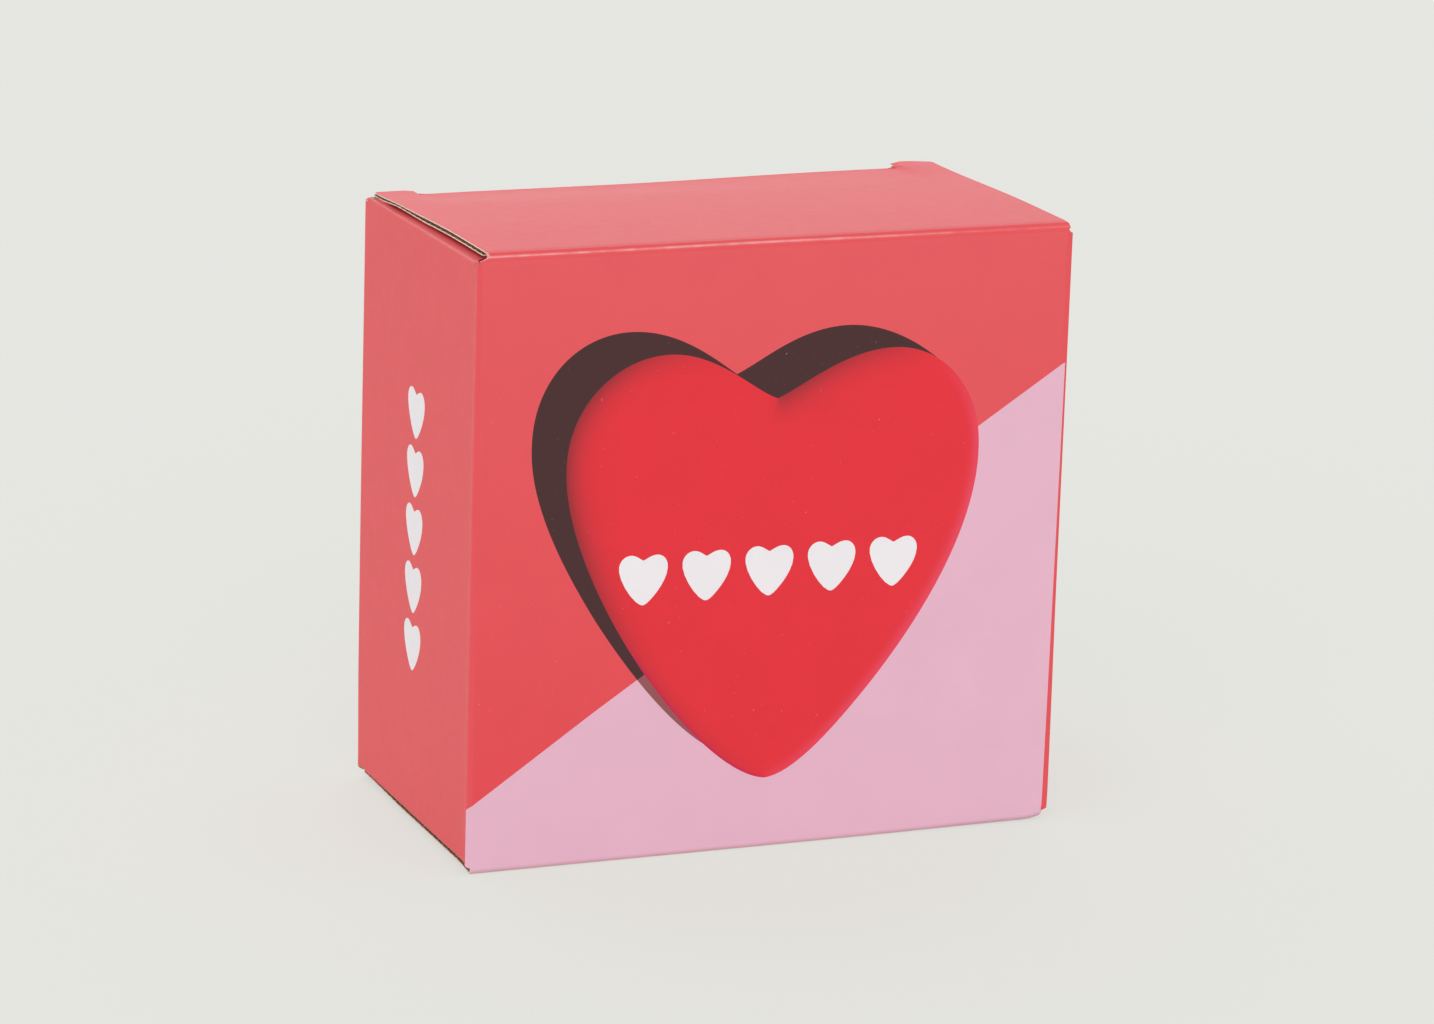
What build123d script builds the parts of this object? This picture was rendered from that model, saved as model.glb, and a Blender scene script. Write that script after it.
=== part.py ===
from build123d import *
import math
import os

# Carton, outside sizes from fold to fold: X is the width, the front panel faces -Y
carton_width = 152.0
carton_depth = 82.0
carton_height = 150.0

# Board of three plies: a wavy sheet glued between two flat liners
liner_thickness = 0.3
flute_height = 1.0
flute_pitch = 3.5
flute_crest = 0.9
flute_sheet = 0.2
crease_thickness = 0.9

# Top and bottom closures, which are mirror images of each other
lid_side_inset = 1.5
ear_width = 11.0
ear_gap = 0.1
slit_gap = 0.5
slit_drop = 1.3
tuck_length = 18.0
tuck_lean = 12.0
tuck_back_gap = 0.3
tuck_side_gap = 1.0
tuck_corner_radius = 9.0
flap_gap = 0.2
dust_length = 38.0
dust_front_gap = 1.5
dust_front_angle = 36.0
dust_rear_gap = 1.4
dust_rear_chamfer = 6.6
dust_rear_angle = 10.0

# Glued seam at the rear right corner
glue_flap_width = 15.0
glue_flap_end_gap = 4.0
glue_flap_taper = 4.0
seam_inset = 0.4

# Board cradle that holds the ceramic box upright
cradle_board = 1.6
cradle_side_gap = 0.4
cradle_floor_gap = 0.2
cradle_top_gap = 1.0
cradle_face_y = -6.0
cradle_flange_gap = 1.0
window_gap = 0.3

# Ceramic heart box, standing on its tip with its lid towards the front
heart_width = 112.0
heart_height = 112.0
lobe_radius = 32.0
tip_radius = 10.0
cleft_radius = 3.0
ceramic_wall = 4.0
base_depth = 34.0
base_edge_radius = 5.0
mouth_y = -12.0
cover_depth = 18.0
cover_edge_radius = 8.0
lip_length = 4.0
lip_thickness = 2.5
lip_gap = 0.4

# Sizes that follow from the ones above
board = 2 * liner_thickness + flute_height
half_width = carton_width / 2
half_depth = carton_depth / 2
lid_half_width = half_width - lid_side_inset
ear_start = lid_half_width - ear_width
flap_top = carton_height - board - flap_gap
side_top = flap_top - board
side_bottom = carton_height - side_top
tuck_face_y = half_depth - board - tuck_back_gap
tuck_half_width = half_width - 2 * board - tuck_side_gap
mid_height = carton_height / 2

nodes = {}


def prism(outline, low, high):
    """Solid of a flat outline in local XY, between two heights."""
    return extrude(Pos(0, 0, low) * outline, high - low, dir=(0, 0, 1))


def rectangle(low_x, high_x, low_y, high_y):
    """Flat rectangle between four limits."""
    middle = Pos((low_x + high_x) / 2, (low_y + high_y) / 2)
    return middle * Rectangle(high_x - low_x, high_y - low_y)


def wavy_sheet(outline):
    """Corrugated middle ply: ridges run along local X and touch both liners."""
    box = outline.bounding_box()
    waves = max(1, round((box.max.Y - box.min.Y) / flute_pitch))
    pitch = (box.max.Y - box.min.Y) / waves
    crest = -liner_thickness
    trough = crest - flute_height + flute_sheet
    upper = [(box.min.Y, trough)]
    for i in range(waves):
        start = box.min.Y + i * pitch
        upper.append((start + flute_crest / 2, trough))
        upper.append((start + pitch / 2 - flute_crest / 2, crest))
        upper.append((start + pitch / 2 + flute_crest / 2, crest))
        upper.append((start + pitch - flute_crest / 2, trough))
    upper.append((box.max.Y, trough))
    lower = [(y, z - flute_sheet) for y, z in reversed(upper)]
    section = make_face(Polyline(*upper, *lower, close=True))
    end_plane = Plane((box.min.X, 0, 0), x_dir=(0, 1, 0), z_dir=(1, 0, 0))
    sheet = extrude(end_plane * section, box.size.X, dir=(1, 0, 0))
    is_rectangle = abs(outline.area - box.size.X * box.size.Y) < 1e-6
    return sheet if is_rectangle else sheet & prism(outline, -board, 0)


def board_panel(name, place, outline):
    """Three plies of one panel. Its place is on the printed face, with local Z pointing outwards."""
    core = -liner_thickness - flute_height
    nodes[f"{name}_outer_liner"] = place * prism(outline, -liner_thickness, 0)
    nodes[f"{name}_fluting"] = place * wavy_sheet(outline)
    nodes[f"{name}_inner_liner"] = place * prism(outline, -board, core)


def bent_strip(turn):
    """Section of a fold: crushed board bent round the inner corner, from local +X by the given turn."""
    ring = Circle(board) - Circle(board - crease_thickness)
    reach = 2 * board
    wedge = make_face(
        Polyline(
            (0, 0),
            (reach, 0),
            (reach, reach * math.tan(math.radians(turn / 2))),
            (reach * math.cos(math.radians(turn)), reach * math.sin(math.radians(turn))),
            close=True,
        )
    )
    return ring & wedge


# Walls of the carton
front_plane = Plane((0, -half_depth, 0), x_dir=(1, 0, 0), z_dir=(0, -1, 0))
back_plane = Plane((0, half_depth, 0), x_dir=(-1, 0, 0), z_dir=(0, 1, 0))
left_plane = Plane((-half_width, 0, 0), x_dir=(0, -1, 0), z_dir=(-1, 0, 0))
right_plane = Plane((half_width, 0, 0), x_dir=(0, 1, 0), z_dir=(1, 0, 0))
glue_plane = Plane((half_width - board, 0, 0), x_dir=(0, 1, 0), z_dir=(1, 0, 0))

wall_reach = half_width - board
side_reach = half_depth - board
back_low = board + ear_gap
board_panel("front", front_plane, rectangle(-wall_reach, wall_reach, board, carton_height - board))
board_panel("back", back_plane, rectangle(board - wall_reach, wall_reach, back_low, carton_height - back_low))
board_panel("left", left_plane, rectangle(-side_reach, side_reach, side_bottom, side_top))
board_panel("right", right_plane, rectangle(-side_reach, half_depth - seam_inset, side_bottom, side_top))

# Glue flap: folds off the back panel and lies against the inside of the right panel
glue_low = side_bottom + glue_flap_end_gap
glue_high = side_top - glue_flap_end_gap
glue_outline = make_face(
    Polyline(
        (side_reach, glue_low),
        (side_reach, glue_high),
        (side_reach - glue_flap_width, glue_high - glue_flap_taper),
        (side_reach - glue_flap_width, glue_low + glue_flap_taper),
        close=True,
    )
)
board_panel("glue_flap", glue_plane, glue_outline)

# Upright folds: three wall corners and the fold of the glue flap
quarter = bent_strip(90)


def upright_fold(x, y, turn, low, high):
    """One upright fold round the inner corner at x, y."""
    return Pos(x, y, 0) * Rot(0, 0, turn) * prism(quarter, low, high)


nodes["corner_creases"] = Compound(
    children=[
        upright_fold(-wall_reach, -side_reach, 180, side_bottom, side_top),
        upright_fold(wall_reach, -side_reach, 270, side_bottom, side_top),
        upright_fold(-wall_reach, side_reach, 90, side_bottom, side_top),
        upright_fold(wall_reach - board, side_reach, 0, glue_low, glue_high),
    ]
)

# Lid: hinged on the front panel, with an ear at each rear corner beside the tuck flap's slit
lid_plane = Plane((0, 0, carton_height), x_dir=(1, 0, 0), z_dir=(0, 0, 1))
tuck_corner_y = tuck_face_y - board
lid_outline = rectangle(-lid_half_width, lid_half_width, -side_reach, tuck_corner_y)
for side in (-1, 1):
    ear_middle = Pos(side * (lid_half_width - ear_width / 2), (tuck_corner_y + half_depth) / 2)
    lid_outline += ear_middle * Rectangle(ear_width, half_depth - tuck_corner_y)
board_panel("top_lid", lid_plane, lid_outline)

lid_fold = Plane((-lid_half_width, -side_reach, carton_height - board), x_dir=(0, 0, 1), z_dir=(1, 0, 0))
nodes["top_lid_crease"] = lid_fold * prism(quarter, 0, 2 * lid_half_width)

# Tuck flap: drops behind the lid's rear fold and leans in, clear of the back panel
tuck_middle = ear_start - slit_gap
tuck_outline = rectangle(-tuck_middle, tuck_middle, -slit_drop, 0)
tuck_blade = rectangle(-tuck_half_width, tuck_half_width, -tuck_length, -slit_drop)
tuck_tips = tuck_blade.vertices().group_by(Axis.Y)[0]
tuck_outline += fillet(tuck_tips, tuck_corner_radius)
tuck_plane = Plane((0, board, 0), x_dir=(-1, 0, 0), z_dir=(0, 1, 0))
tuck_place = Pos(0, tuck_corner_y, carton_height - board) * Rot(-tuck_lean, 0, 0)
board_panel("top_tuck_flap", tuck_place * tuck_plane.location, tuck_outline)

tuck_fold = Plane((-tuck_middle, tuck_corner_y, carton_height - board), x_dir=(0, 1, 0), z_dir=(1, 0, 0))
tuck_bend = Rot(0, 0, -tuck_lean) * bent_strip(90 + tuck_lean)
nodes["top_tuck_crease"] = tuck_fold * prism(tuck_bend, 0, 2 * tuck_middle)

# Dust flaps: fold in from the side panels, under the lid, and are cut back at the rear, clear of the tuck flap
dust_front_y = dust_front_gap - side_reach
dust_rear_y = side_reach - dust_rear_gap
dust_tip_front_y = dust_front_y + dust_length * math.tan(math.radians(dust_front_angle))
dust_chamfer_y = dust_rear_y - dust_rear_chamfer
dust_tip_rear_y = dust_chamfer_y - (dust_length - dust_rear_chamfer) * math.tan(math.radians(dust_rear_angle))
dust_outline = make_face(
    Polyline(
        (dust_front_y, 0),
        (dust_rear_y, 0),
        (dust_chamfer_y, dust_rear_chamfer),
        (dust_tip_rear_y, dust_length),
        (dust_tip_front_y, dust_length),
        close=True,
    )
)
flap_plane = Plane((wall_reach, 0, flap_top), x_dir=(0, 1, 0), z_dir=(0, 0, 1))
board_panel("top_right_dust_flap", flap_plane, dust_outline)
flap_fold = Plane((wall_reach, dust_rear_y, side_top), x_dir=(1, 0, 0), z_dir=(0, -1, 0))
nodes["top_right_dust_crease"] = flap_fold * prism(quarter, 0, dust_rear_y - dust_front_y)
for name in [name for name in nodes if name.startswith("top_right_")]:
    nodes[name.replace("right", "left", 1)] = mirror(nodes[name], Plane.YZ)

# Bottom closure: the top one mirrored about the middle of the height
middle_plane = Plane((0, 0, mid_height), x_dir=(1, 0, 0), z_dir=(0, 0, 1))
for name in [name for name in nodes if name.startswith("top_")]:
    nodes[name.replace("top_", "bottom_", 1)] = mirror(nodes[name], middle_plane)


def heart(grow=0.0):
    """Heart outline in local XY with its tip down, centred on its height; grow moves its edge outwards.

    Two round lobes and a small round tip, joined by the straight lines that touch them.
    """
    lobe_x = heart_width / 2 - lobe_radius
    lobe_y = heart_height / 2 - lobe_radius
    tip_y = tip_radius - heart_height / 2
    span = math.hypot(lobe_x, lobe_y - tip_y)
    turn = math.atan2(lobe_y - tip_y, lobe_x) - math.acos((lobe_radius - tip_radius) / span)
    touch_x = math.cos(turn)
    touch_y = math.sin(turn)
    cleft = (0, lobe_y + math.sqrt(lobe_radius**2 - lobe_x**2))
    crown = (lobe_x, lobe_y + lobe_radius)
    lobe_end = (lobe_x + lobe_radius * touch_x, lobe_y + lobe_radius * touch_y)
    tip_start = (tip_radius * touch_x, tip_y + tip_radius * touch_y)
    tip_end = (-tip_start[0], tip_start[1])
    right_lobe = ThreePointArc(cleft, crown, lobe_end)
    right_side = Line(lobe_end, tip_start)
    tip = ThreePointArc(tip_start, (0, tip_y - tip_radius), tip_end)
    left_side = mirror(right_side, Plane.YZ)
    left_lobe = mirror(right_lobe, Plane.YZ)
    outline = make_face([right_lobe, right_side, tip, left_side, left_lobe])
    top_middle = [corner for corner in outline.vertices() if abs(corner.X) < 1e-3 and corner.Y > 0]
    outline = fillet(top_middle, cleft_radius)
    return offset(outline, grow) if grow else outline


def facing_front(y):
    """Plane at depth y whose normal points to the front, at the middle of the height."""
    return Plane((0, y, mid_height), x_dir=(1, 0, 0), z_dir=(0, -1, 0))


# Ceramic base: a heart-shaped dish, its mouth towards the front
cavity = heart(-ceramic_wall)
base_body = prism(heart(), -base_depth, 0)
base_body = fillet(base_body.faces().sort_by(Axis.Z)[0].edges(), base_edge_radius)
base_body -= prism(cavity, ceramic_wall - base_depth, 0)
nodes["ceramic_base"] = facing_front(mouth_y) * base_body

# Ceramic cover: a hollow pillow with a lip that drops into the base
cover_body = prism(heart(), 0, cover_depth)
cover_body = fillet(cover_body.faces().sort_by(Axis.Z)[-1].edges(), cover_edge_radius)
lip_outer = -ceramic_wall - lip_gap
lip_ring = heart(lip_outer) - heart(lip_outer - lip_thickness)
cover_hollow = heart(lip_outer - lip_thickness)
cover_body -= prism(cover_hollow, 0, cover_depth - ceramic_wall)
cover_body += prism(lip_ring, -lip_length, 0)
nodes["ceramic_cover"] = facing_front(mouth_y) * cover_body

# Cradle: a face board with a heart-shaped window, and a flange folded back along each side
cradle_reach = wall_reach - cradle_side_gap
cradle_low = side_bottom + cradle_floor_gap - mid_height
cradle_high = side_top - cradle_top_gap - mid_height
cradle_face = rectangle(-cradle_reach, cradle_reach, cradle_low, cradle_high) - heart(window_gap)
nodes["cradle_face"] = facing_front(cradle_face_y) * prism(cradle_face, -cradle_board, 0)

flange_start = cradle_face_y + cradle_board
flange_end = side_reach - glue_flap_width - cradle_flange_gap
flange = rectangle(cradle_reach - cradle_board, cradle_reach, flange_start, flange_end)
nodes["cradle_right_flange"] = Pos(0, 0, mid_height) * prism(flange, cradle_low, cradle_high)
nodes["cradle_left_flange"] = mirror(nodes["cradle_right_flange"], Plane.YZ)

os.makedirs("parts", exist_ok=True)
for name, shape in nodes.items():
    shape.label = name
    export_step(shape, f"parts/{name}.step")
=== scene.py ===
from math import cos, exp, pi, radians, sin, tan

import bmesh
import bpy
import numpy as np
from mathutils import Matrix, Vector
from mathutils.geometry import delaunay_2d_cdt, interpolate_bezier


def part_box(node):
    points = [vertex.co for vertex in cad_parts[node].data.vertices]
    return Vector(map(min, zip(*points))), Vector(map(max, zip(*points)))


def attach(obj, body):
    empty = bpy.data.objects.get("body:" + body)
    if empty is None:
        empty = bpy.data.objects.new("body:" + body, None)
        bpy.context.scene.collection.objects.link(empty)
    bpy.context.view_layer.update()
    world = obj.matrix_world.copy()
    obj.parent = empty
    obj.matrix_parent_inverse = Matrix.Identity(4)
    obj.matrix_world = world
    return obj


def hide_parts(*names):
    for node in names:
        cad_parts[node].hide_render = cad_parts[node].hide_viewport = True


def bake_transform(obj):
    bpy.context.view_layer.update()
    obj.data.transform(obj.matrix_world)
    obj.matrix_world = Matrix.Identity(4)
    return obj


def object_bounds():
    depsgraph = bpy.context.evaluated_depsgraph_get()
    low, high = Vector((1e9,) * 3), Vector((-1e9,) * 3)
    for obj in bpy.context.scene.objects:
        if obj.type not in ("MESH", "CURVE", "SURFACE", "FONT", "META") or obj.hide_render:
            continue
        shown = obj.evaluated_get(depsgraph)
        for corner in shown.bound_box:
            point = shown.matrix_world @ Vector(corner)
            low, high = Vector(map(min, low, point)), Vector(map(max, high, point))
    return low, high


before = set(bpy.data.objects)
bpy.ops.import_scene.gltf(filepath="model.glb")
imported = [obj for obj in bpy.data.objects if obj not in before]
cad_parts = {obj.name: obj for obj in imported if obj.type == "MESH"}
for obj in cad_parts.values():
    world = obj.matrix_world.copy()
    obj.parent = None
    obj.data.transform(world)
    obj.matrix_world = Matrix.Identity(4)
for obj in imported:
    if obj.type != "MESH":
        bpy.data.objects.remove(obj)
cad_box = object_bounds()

# Carton walls: the outer ply of the four walls and the glue flap, one sheet of coated paper. It is printed
# and die-cut flat, folded round the upright corners, and glued inside the right rear corner.
mm = 0.001


def span(node):
    """Lowest and highest corner of a CAD node, in millimetres."""
    return [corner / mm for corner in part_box(node)]


carton_height = cad_box[1][2] / mm
front_low, front_high = span("front_outer_liner")
left_low, left_high = span("left_outer_liner")
right_low, right_high = span("right_outer_liner")
back_low, back_high = span("back_outer_liner")
glue_low, glue_high = span("glue_flap_outer_liner")
liner = front_high.y - front_low.y
fold_radius = front_low.x - left_low.x
quarter = fold_radius * pi / 2
flute_pitch = 3.5

# Distances along the flat sheet from the middle of the front, to the right and to the left
right_start = front_high.x + quarter
right_end = right_start + right_high.y - right_low.y
left_start = front_low.x - quarter
left_end = left_start - (left_high.y - left_low.y)
back_start = left_end - quarter
back_end = back_start - (back_high.x - back_low.x)
glue_start = back_end - quarter
glue_end = glue_start - (glue_high.y - glue_low.y)
glue_taper = 4.0


def wall_point(u):
    """Place in plan of the point that lies u along the flat sheet, from the middle of the front wall."""
    ahead = [(front_high.x, 0), (quarter, pi / 2), (right_end - right_start, 0)]
    behind = [(-front_low.x, 0), (quarter, -pi / 2), (left_start - left_end, 0), (quarter, -pi / 2),
              (back_start - back_end, 0), (quarter, -pi / 2), (glue_start - glue_end, 0)]
    rest = abs(u)
    heading = 0.0 if u >= 0 else pi
    place = Vector((0, front_low.y))
    for length, turn in ahead if u >= 0 else behind:
        step = min(rest, length)
        part = turn * step / length
        if turn:
            arc = Vector((sin(heading + part) - sin(heading), cos(heading) - cos(heading + part)))
            place += arc * length / turn
        else:
            place += Vector((cos(heading), sin(heading))) * step
        heading += part
        rest -= step
    return place


def smooth(value, low, high):
    """0 below low, 1 above high, and an even slope between them."""
    t = min(1.0, max(0.0, (value - low) / (high - low)))
    return t * t * (3 - 2 * t)


# How far the standing carton departs from the neatly folded sheet
fold_press = 0.8
score_hollow, score_width = 0.14, 0.45
bow_left, bow_right, bow_most = 0.25, 0.4, 0.28
knock_reach, knock_in, knock_back, knock_up = 6, 0.2, 0.3, 1.4
edge_wear = 0.4


def stand(x, y, z):
    """A point of the carton as it really stands: its upright folds are pressed sharper than a round, the
    scores below the dust flaps are a little hollow, the side walls bow in slightly, and the front's lower
    edge is worn up at the right, most at its corner."""
    over_x = max(0.0, abs(x) - front_high.x)
    over_y = max(0.0, abs(y) - left_high.y)
    sharp = fold_press * over_x * over_y / fold_radius ** 2
    sharp_x = min(sharp, max(0.0, right_high.x - abs(x)))
    sharp_y = min(sharp, max(0.0, back_high.y - abs(y)))
    from_score = min(abs(z - left_low.z), abs(z - left_high.z))
    near_score = exp(-(from_score / score_width) ** 2)
    hollow = score_hollow * near_score * smooth(abs(x), right_high.x - 0.8, right_high.x)
    if x > 0:
        bow = bow_right * smooth(z, 0, 90)
    else:
        low_rear = smooth(y, -10, 39) * smooth(-z, -30, -5)
        bow = bow_left * max(smooth(z, 60, 150), low_rear)
    bow = min(bow, bow_most - hollow) * smooth(abs(x), right_high.x - 2, right_high.x)
    from_corner = (Vector((x, y, z)) - Vector((right_high.x, front_low.y, 0))).length
    knock = max(0.0, 1 - from_corner / knock_reach) ** 2
    low_front = smooth(-y, 38, -front_low.y) * (1 - smooth(z, 0, 5))
    worn = edge_wear * smooth(x, 15, 74) * low_front
    x += (sharp_x - hollow - bow) * (1 if x > 0 else -1) - knock_in * knock
    y += sharp_y * (1 if y > 0 else -1) + knock_back * knock
    return Vector((x, y, z + knock_up * knock + worn))


def within(points, loop):
    """Which of the points lie inside a closed loop."""
    x, y = points[:, 0], points[:, 1]
    inside = np.zeros(len(points), bool)
    for (x0, y0), (x1, y1) in zip(loop, loop[1:] + loop[:1]):
        if y0 != y1:
            inside ^= ((y0 > y) != (y1 > y)) & (x < x0 + (y - y0) * (x1 - x0) / (y1 - y0))
    return inside


def stepped(line, step=2.5):
    """A line with more points, so that no step along it is much longer than step."""
    fine = []
    for start, stop in zip(line, line[1:]):
        parts = max(1, round((Vector(stop) - Vector(start)).length / step))
        fine += [tuple(Vector(start).lerp(Vector(stop), i / parts)) for i in range(parts)]
    return fine + line[-1:]


crisp_angle = radians(50)


def settled(piece):
    """Makes what a piece's modifiers give its plain mesh, with crisp cut edges."""
    seen = piece.evaluated_get(bpy.context.evaluated_depsgraph_get())
    mesh = bpy.data.meshes.new_from_object(seen)
    piece.modifiers.clear()
    piece.data = mesh
    mesh.set_sharp_from_angle(angle=crisp_angle)


def cut_sheet(name, outline, lines, spots, place, paint=None, wear_and_highlight=None, turned=False, finishes=None):
    """A sheet of liner, cut flat to an outline with lines as mesh edges, printed, and then put in place."""
    points, edges = list(spots), []
    outline = stepped(outline + outline[:1])[:-1]
    for line in [outline + outline[:1]] + lines:
        edges += [(len(points) + i, len(points) + i + 1) for i in range(len(line) - 1)]
        points += line
    flat, _, faces, *_ = delaunay_2d_cdt([Vector(p) for p in points], edges, [], 0, 1e-4)
    flat, faces = np.array([tuple(p) for p in flat]), np.array(faces)
    faces = faces[within(flat[faces].mean(axis=1), outline)]
    used, faces = np.unique(faces, return_inverse=True)
    flat, faces = flat[used], faces.reshape(-1, 3)
    faces = faces[:, ::-1] if turned else faces
    mesh = bpy.data.meshes.new(name)
    mesh.from_pydata([place(u, v) * mm for u, v in flat], [], faces.tolist())
    if paint:
        inks = np.ones((len(faces), 3, 4), np.float32)
        inks[:, :, :3] = paint(flat[faces].mean(axis=1), flat[faces])
        mesh.color_attributes.new("ink", "FLOAT_COLOR", "CORNER").data.foreach_set("color", inks.ravel())
        # The wear attribute: stretched ink on the folds, and painted highlights along some of them
        worn = np.array([wear_and_highlight(u, v) for u, v in flat], np.float32)
        mesh.attributes.new("wear_and_highlight", "FLOAT", "POINT").data.foreach_set("value", worn)
    blank = np.array(flat[faces] * mm, np.float32)
    mesh.uv_layers.new(name="blank").data.foreach_set("uv", blank.ravel())
    mesh.shade_smooth()
    sheet = bpy.data.objects.new(name, mesh)
    bpy.context.scene.collection.objects.link(sheet)
    for finish in finishes or (printed_coat, liner_back, cut_edge):
        mesh.materials.append(finish)
    paper = sheet.modifiers.new("paper", "SOLIDIFY")
    paper.thickness = liner * mm
    paper.offset = -1
    paper.material_offset = 1
    paper.material_offset_rim = 2
    settled(sheet)
    return sheet


def wire(tree, kind, inputs=(), **settings):
    """One node of a tree with its settings, and its inputs linked or set."""
    node = tree.nodes.new(kind)
    for name, value in settings.items():
        setattr(node, name, value)
    for key, value in dict(inputs).items():
        if isinstance(value, bpy.types.NodeSocket):
            tree.links.new(value, node.inputs[key])
        else:
            node.inputs[key].default_value = value
    return node


def reckon(tree, operation, *values):
    """A sum on values of a tree."""
    return wire(tree, "ShaderNodeMath", dict(enumerate(values)), operation=operation).outputs[0]


def spread(tree, value, low, high, start, stop):
    """A value from low to high, spread from start to stop."""
    return wire(tree, "ShaderNodeMapRange", {"Value": value, 1: low, 2: high, 3: start, 4: stop}).outputs[0]


def speckle(tree, place, scale, start=0.0, stop=1.0, low=0.3, high=0.7, detail=4.0):
    """Noise of some scale per metre, with its values from low to high spread from start to stop."""
    settings = {"Vector": place, "Scale": scale, "Detail": detail, "Roughness": 0.6}
    noise = wire(tree, "ShaderNodeTexNoise", settings).outputs["Fac"]
    return spread(tree, noise, low, high, start, stop)


def tint(tree, share, first, second, **settings):
    """The colour at a share of the way from the first to the second, each an ink or a socket."""
    colours = [c if isinstance(c, bpy.types.NodeSocket) else (*c, 1) for c in (first, second)]
    inputs = {0: share, 6: colours[0], 7: colours[1]}
    return wire(tree, "ShaderNodeMix", inputs, data_type="RGBA", **settings).outputs[2]


def emboss(tree, shader, height, strength, distance):
    """Gives a shader's surface a fine relief."""
    bump = wire(tree, "ShaderNodeBump", {"Height": height, "Strength": strength, "Distance": distance})
    tree.links.new(bump.outputs["Normal"], shader.inputs["Normal"])


def ink(red, green, blue):
    """A colour as a screen shows it, turned into the linear light that Blender works in."""
    shown = [v / 255 for v in (red, green, blue)]
    return tuple(v / 12.92 if v <= 0.04045 else ((v + 0.055) / 1.055) ** 2.4 for v in shown)


def new_finish(name):
    """A new material with its tree, its shader and the place of each point on the object."""
    finish = bpy.data.materials.new(name)
    finish.use_nodes = True
    tree = finish.node_tree
    place = wire(tree, "ShaderNodeTexCoord").outputs["Object"]
    return finish, tree, tree.nodes["Principled BSDF"], place


# Ink on coated paper: slightly mottled, with tiny specks that the ink missed, paler where a fold has
# stretched it and along some folds as a painted highlight, and a faint washboard of the fluting below
missed_ink, rubbed_and_highlight_ink = ink(240, 200, 198), ink(240, 176, 172)
printed_coat, tree, shader, place = new_finish("printed_coat")
drawn = wire(tree, "ShaderNodeAttribute", attribute_name="ink").outputs["Color"]
worn = wire(tree, "ShaderNodeAttribute", attribute_name="wear_and_highlight").outputs["Fac"]
mottle = speckle(tree, place, 70, 0.985, 1.015)
toned = tint(tree, 1.0, drawn, mottle, blend_type="MULTIPLY")
missed = speckle(tree, place, 1100, 0.0, 0.25, low=0.7, high=0.8, detail=2.0)
specked = tint(tree, missed, toned, missed_ink)
patchy = speckle(tree, place, 260, 0.45, 1.0, low=0.35, high=0.65)
# Painted highlight: the wear attribute also holds pale bands on the folds that stand in for light caught
# there
paled_and_lit = tint(tree, reckon(tree, "MULTIPLY", worn, patchy), specked, rubbed_and_highlight_ink)
tree.links.new(paled_and_lit, shader.inputs["Base Color"])
tree.links.new(speckle(tree, place, 300, 0.45, 0.49), shader.inputs["Roughness"])
shader.inputs["Specular IOR Level"].default_value = 0.26
blank = wire(tree, "ShaderNodeUVMap", uv_map="blank").outputs["UV"]
across = wire(tree, "ShaderNodeSeparateXYZ", {0: blank}).outputs["Y"]
washboard = reckon(tree, "SINE", reckon(tree, "MULTIPLY", across, 2 * pi / (flute_pitch * mm)))
fibres = speckle(tree, place, 1900, detail=6.0)
emboss(tree, shader, reckon(tree, "MULTIPLY_ADD", washboard, 0.35, fibres), 0.05, 0.00012)

# Back of the coated paper, and its cut edge
liner_back, tree, shader, place = new_finish("liner_back")
warm = speckle(tree, place, 240, detail=6.0)
tree.links.new(tint(tree, warm, ink(196, 160, 122), ink(214, 182, 146)), shader.inputs["Base Color"])
shader.inputs["Roughness"].default_value = 0.85
cut_edge, tree, shader, place = new_finish("cut_edge")
chalk = speckle(tree, place, 700)
tree.links.new(tint(tree, chalk, ink(226, 200, 184), ink(240, 224, 212)), shader.inputs["Base Color"])
shader.inputs["Roughness"].default_value = 0.8


def curve(knots, steps=60):
    """Line through knots, each given as place, handle before it and handle after it."""
    line = []
    for (start, _, out), (stop, back, _) in zip(knots, knots[1:]):
        line += [tuple(p) for p in interpolate_bezier(*map(Vector, (start, out, back, stop)), steps)[:-1]]
    return line + [tuple(knots[-1][0])]


# Print on the front: a red heart on red and pink, split by a slanted line, with the shadow that it casts
cleft, tip = (0.4, 111.7), (0.0, 17.7)
heart = curve([
    (cleft, (-5.4, 113.5), (7.4, 114.5)), ((30, 122.4), (17.2, 122.4), (42.8, 122.4)),
    ((53.2, 96.7), (53.2, 111), (53.8, 72)), ((22.4, 34.3), (32.6, 45.5), (14.4, 25.4)),
    (tip, (6.4, 18.1), (-18, 20)), ((-52.6, 98), (-53.6, 71.4), (-52.6, 112.3)),
    ((-27.5, 123.9), (-41.3, 123.9), (-15.2, 123.9)), (cleft, (-5.4, 113.5), (7.4, 114.5)),
])[:-1]
heart_width, heart_middle = 106, 70.8
shadow_cleft, shadow_end = (-10.3, 118.2), (-14.2, 26.4)
shadow = curve([
    (shadow_end, shadow_end, (-25.1, 33)), ((-44.5, 60.3), (-36.6, 48.2), (-53, 73.8)),
    ((-61.4, 103.9), (-61.9, 90.5), (-61.4, 118.8)), ((-37.3, 129.9), (-51.3, 129.9), (-26, 129.9)),
    (shadow_cleft, (-17.2, 123.2), (-3.4, 121.3)), ((17.7, 128.5), (5.4, 128.5), (26.1, 128.5)),
    ((42, 118.6), (34.8, 124.6), (42, 118.6)),
]) + [(20, 90), (0, 45)]
pink_left, pink_right = front_low.x - 0.5 * quarter, front_high.x + 0.27 * quarter
pink_top = 116.2


def pink_edge(z):
    """How far the pink runs round the right fold. The print lies a little askew on the board."""
    return np.interp(z, (front_low.z, pink_top), (front_high.x, pink_right))


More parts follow.
